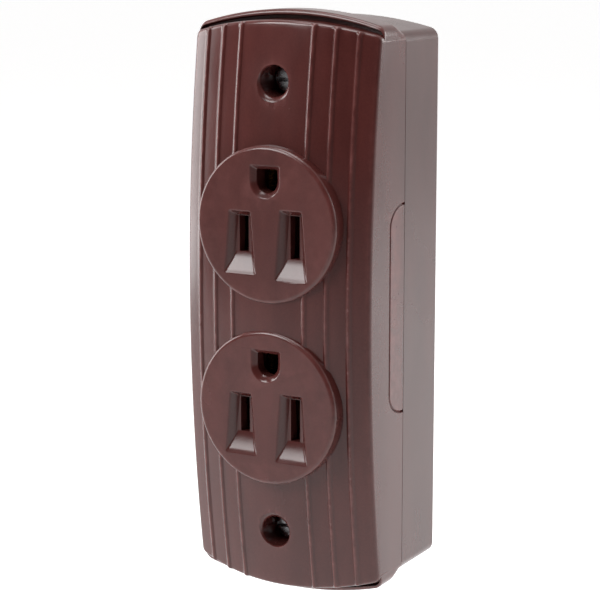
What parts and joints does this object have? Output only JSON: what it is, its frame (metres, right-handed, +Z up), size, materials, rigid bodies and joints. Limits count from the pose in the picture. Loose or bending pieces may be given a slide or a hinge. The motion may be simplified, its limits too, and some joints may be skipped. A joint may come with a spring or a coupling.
{
  "type": "duplex wall outlet",
  "caption": "Surface-mount brown duplex wall outlet: crowned ribbed cover with two grounded receptacle faces on a base that holds brass contacts and screw terminals.",
  "frame": {"origin": "centre of the flat back face that rests against the wall", "axes": "+Z up the wall along the long side, +Y into the wall out of the back face, +X to the right seen from the front"},
  "size_m": [0.046, 0.0369, 0.13],
  "materials": {
    "cover_plastic": "glossy brown phenolic moulding",
    "base_plastic": "glossy brown phenolic moulding, slightly duller inside",
    "contact_brass": "rolled spring brass strip",
    "insert_brass": "turned brass",
    "plated_steel": "bright zinc plate",
    "green_screw": "green-dyed zinc plate"
  },
  "bodies": {
    "base": {"rear_base": "base_plastic", "cover_insert_upper": "insert_brass", "cover_insert_lower": "insert_brass", "hot_contact_strip": "contact_brass", "neutral_contact_strip": "contact_brass", "ground_strap": "plated_steel", "ground_contact_upper": "contact_brass", "ground_contact_lower": "contact_brass", "ground_rivet_upper": "insert_brass", "ground_rivet_lower": "insert_brass"},
    "cover": {"front_cover": "cover_plastic"},
    "breakout_tab_right": {"breakout_tab_right": "cover_plastic"},
    "breakout_tab_left": {"breakout_tab_left": "cover_plastic"},
    "cover_washer_upper": {"cover_washer_upper": "plated_steel"},
    "cover_screw_upper": {"cover_screw_upper": "plated_steel"},
    "cover_washer_lower": {"cover_washer_lower": "plated_steel"},
    "cover_screw_lower": {"cover_screw_lower": "plated_steel"},
    "hot_clamp_upper": {"hot_clamp_upper": "insert_brass"},
    "hot_terminal_screw_upper": {"hot_terminal_screw_upper": "insert_brass"},
    "hot_clamp_lower": {"hot_clamp_lower": "insert_brass"},
    "hot_terminal_screw_lower": {"hot_terminal_screw_lower": "insert_brass"},
    "neutral_clamp_upper": {"neutral_clamp_upper": "plated_steel"},
    "neutral_terminal_screw_upper": {"neutral_terminal_screw_upper": "plated_steel"},
    "neutral_clamp_lower": {"neutral_clamp_lower": "plated_steel"},
    "neutral_terminal_screw_lower": {"neutral_terminal_screw_lower": "plated_steel"},
    "ground_clamp": {"ground_clamp": "plated_steel"},
    "ground_terminal_screw": {"ground_terminal_screw": "green_screw"}
  },
  "joints": [
    {"name": "cover_lift", "type": "slide", "parent": "base", "child": "cover", "axis": [0, -1, 0], "range_m": [0, 0.045]},
    {"name": "breakout_right_out", "type": "slide", "parent": "cover", "child": "breakout_tab_right", "axis": [1, 0, 0], "range_m": [0, 0.012]},
    {"name": "breakout_left_out", "type": "slide", "parent": "cover", "child": "breakout_tab_left", "axis": [-1, 0, 0], "range_m": [0, 0.012]},
    {"name": "cover_screw_upper_out", "type": "slide", "parent": "cover", "child": "cover_washer_upper", "axis": [0, -1, 0], "range_m": [0, 0.00794]},
    {"name": "cover_screw_upper_turn", "type": "hinge", "parent": "cover_washer_upper", "child": "cover_screw_upper", "pos_m": [0, -0.0268, 0.05], "axis": [0, -1, 0], "range_deg": [0, 3602]},
    {"name": "cover_screw_lower_out", "type": "slide", "parent": "cover", "child": "cover_washer_lower", "axis": [0, -1, 0], "range_m": [0, 0.00794]},
    {"name": "cover_screw_lower_turn", "type": "hinge", "parent": "cover_washer_lower", "child": "cover_screw_lower", "pos_m": [0, -0.0268, -0.05], "axis": [0, -1, 0], "range_deg": [0, 3602]},
    {"name": "hot_clamp_upper_out", "type": "slide", "parent": "base", "child": "hot_clamp_upper", "axis": [0, -1, 0], "range_m": [0, 0.00238]},
    {"name": "hot_screw_upper_turn", "type": "hinge", "parent": "hot_clamp_upper", "child": "hot_terminal_screw_upper", "pos_m": [-0.016, -0.0204, 0.0062], "axis": [0, -1, 0], "range_deg": [0, 1082]},
    {"name": "hot_clamp_lower_out", "type": "slide", "parent": "base", "child": "hot_clamp_lower", "axis": [0, -1, 0], "range_m": [0, 0.00238]},
    {"name": "hot_screw_lower_turn", "type": "hinge", "parent": "hot_clamp_lower", "child": "hot_terminal_screw_lower", "pos_m": [-0.016, -0.0204, -0.012], "axis": [0, -1, 0], "range_deg": [0, 1082]},
    {"name": "neutral_clamp_upper_out", "type": "slide", "parent": "base", "child": "neutral_clamp_upper", "axis": [0, -1, 0], "range_m": [0, 0.00238]},
    {"name": "neutral_screw_upper_turn", "type": "hinge", "parent": "neutral_clamp_upper", "child": "neutral_terminal_screw_upper", "pos_m": [0.016, -0.0204, 0.0062], "axis": [0, -1, 0], "range_deg": [0, 1082]},
    {"name": "neutral_clamp_lower_out", "type": "slide", "parent": "base", "child": "neutral_clamp_lower", "axis": [0, -1, 0], "range_m": [0, 0.00238]},
    {"name": "neutral_screw_lower_turn", "type": "hinge", "parent": "neutral_clamp_lower", "child": "neutral_terminal_screw_lower", "pos_m": [0.016, -0.0204, -0.012], "axis": [0, -1, 0], "range_deg": [0, 1082]},
    {"name": "ground_clamp_out", "type": "slide", "parent": "base", "child": "ground_clamp", "axis": [0, -1, 0], "range_m": [0, 0.00238]},
    {"name": "ground_screw_turn", "type": "hinge", "parent": "ground_clamp", "child": "ground_terminal_screw", "pos_m": [0, -0.017, -0.0389], "axis": [0, -1, 0], "range_deg": [0, 1082]}
  ],
  "couplings": [
    {"joint": "cover_screw_upper_turn", "follows": "cover_screw_upper_out", "rad_per_m": 7915.8},
    {"joint": "cover_screw_lower_turn", "follows": "cover_screw_lower_out", "rad_per_m": 7915.8},
    {"joint": "hot_screw_upper_turn", "follows": "hot_clamp_upper_out", "rad_per_m": 7915.8},
    {"joint": "hot_screw_lower_turn", "follows": "hot_clamp_lower_out", "rad_per_m": 7915.8},
    {"joint": "neutral_screw_upper_turn", "follows": "neutral_clamp_upper_out", "rad_per_m": 7915.8},
    {"joint": "neutral_screw_lower_turn", "follows": "neutral_clamp_lower_out", "rad_per_m": 7915.8},
    {"joint": "ground_screw_turn", "follows": "ground_clamp_out", "rad_per_m": 7915.8}
  ]
}
